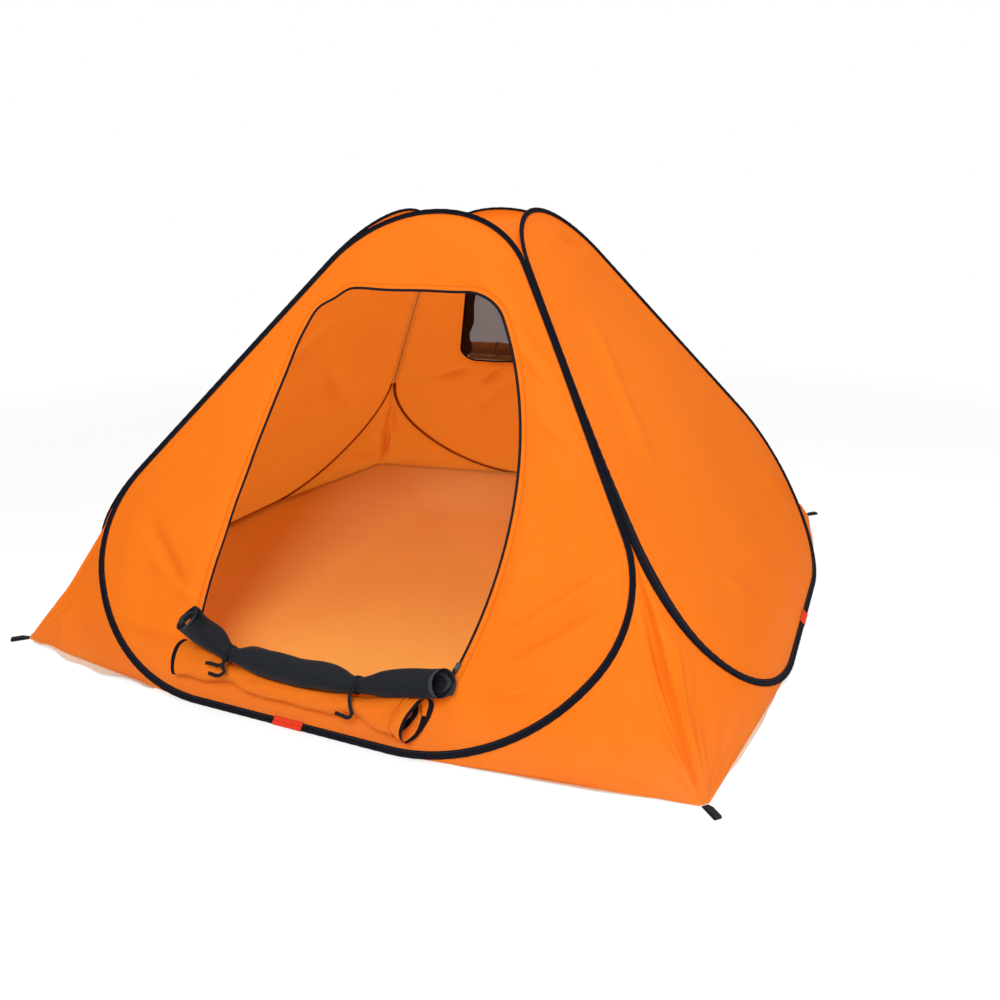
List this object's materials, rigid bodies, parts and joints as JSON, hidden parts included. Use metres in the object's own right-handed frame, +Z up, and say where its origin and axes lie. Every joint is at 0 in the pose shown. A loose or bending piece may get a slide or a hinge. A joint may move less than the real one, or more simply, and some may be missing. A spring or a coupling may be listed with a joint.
{
  "type": "pop-up tent",
  "caption": "Pop-up tent with sprung wire hoops in black sleeves, leaning orange walls, corner gussets, a rolled-down door, a mesh window and peg loops.",
  "frame": {"origin": "on the ground at the centre of the floor", "axes": "+Z up, +X to the right seen from the door, the door faces -Y"},
  "size_m": [2.2074, 2.2074, 1.2005],
  "materials": {
    "orange_cloth": "thin woven polyester, slightly see-through",
    "black_tape": "woven binding tape",
    "red_tape": "woven tape",
    "seam_tape": "woven tape",
    "floor_cloth": "coated woven sheet",
    "pale_cloth": "coated woven sheet",
    "black_mesh": "fine netting, rolled",
    "grey_mesh": "fine netting",
    "black_webbing": "ribbed webbing",
    "zip_plastic": "moulded coil",
    "zip_metal": "satin black paint",
    "spring_steel": "drawn wire"
  },
  "bodies": {
    "tent": {"front_hoop_wire": "spring_steel", "right_hoop_wire": "spring_steel", "back_hoop_wire": "spring_steel", "left_hoop_wire": "spring_steel", "wire_ferrules": "spring_steel", "front_sleeve": "black_tape", "right_sleeve": "black_tape", "back_sleeve": "black_tape", "left_sleeve": "black_tape", "hoop_tags": "red_tape", "front_wall": "orange_cloth", "right_wall": "orange_cloth", "back_wall": "orange_cloth", "left_wall": "orange_cloth", "roof": "orange_cloth", "seam_tapes": "seam_tape", "front_right_gusset": "orange_cloth", "back_right_gusset": "orange_cloth", "back_left_gusset": "orange_cloth", "front_left_gusset": "orange_cloth", "floor_sheet": "floor_cloth", "floor_hems": "pale_cloth", "door_binding": "black_tape", "zip_coil": "zip_plastic", "window_binding": "black_tape", "window_mesh": "grey_mesh"},
    "door_rolls": {"mesh_door_roll": "black_mesh", "outer_door_roll": "orange_cloth", "left_roll_tie": "black_webbing", "right_roll_tie": "black_webbing"},
    "zip_slider": {"zip_slider": "zip_metal"},
    "zip_pull": {"zip_pull": "zip_metal"},
    "window_cover": {"window_cover_roll": "orange_cloth", "window_ties": "black_webbing"},
    "front_right_loop": {"front_right_peg_loop": "black_webbing"},
    "back_right_loop": {"back_right_peg_loop": "black_webbing"},
    "back_left_loop": {"back_left_peg_loop": "black_webbing"},
    "front_left_loop": {"front_left_peg_loop": "black_webbing"}
  },
  "joints": [
    {"name": "door_roll_lift", "type": "hinge", "parent": "tent", "child": "door_rolls", "pos_m": [0, -0.97927, 0.16568], "axis": [-1, 0, 0], "range_deg": [0, 35]},
    {"name": "zip_slide", "type": "hinge", "parent": "tent", "child": "zip_slider", "pos_m": [-0.745, -0.77285, 0.44212], "axis": [0, -0.8039, 0.5948], "range_deg": [0, 44]},
    {"name": "zip_pull_flip", "type": "hinge", "parent": "zip_slider", "child": "zip_pull", "pos_m": [0.40269, -0.97737, 0.18371], "axis": [-0.9628, 0.1607, 0.2172], "range_deg": [0, 150]},
    {"name": "window_cover_drop", "type": "hinge", "parent": "tent", "child": "window_cover", "pos_m": [0, 0.6539, 0.60539], "axis": [-1, 0, 0], "range_deg": [0, 80]},
    {"name": "front_right_loop_lift", "type": "hinge", "parent": "tent", "child": "front_right_loop", "pos_m": [1.00021, -1.00021, 0.003], "axis": [-0.7071, -0.7071, 0], "range_deg": [0, 85]},
    {"name": "back_right_loop_lift", "type": "hinge", "parent": "tent", "child": "back_right_loop", "pos_m": [1.00021, 1.00021, 0.003], "axis": [0.7071, -0.7071, 0], "range_deg": [0, 85]},
    {"name": "back_left_loop_lift", "type": "hinge", "parent": "tent", "child": "back_left_loop", "pos_m": [-1.00021, 1.00021, 0.003], "axis": [0.7071, 0.7071, 0], "range_deg": [0, 85]},
    {"name": "front_left_loop_lift", "type": "hinge", "parent": "tent", "child": "front_left_loop", "pos_m": [-1.00021, -1.00021, 0.003], "axis": [-0.7071, 0.7071, 0], "range_deg": [0, 85]}
  ]
}
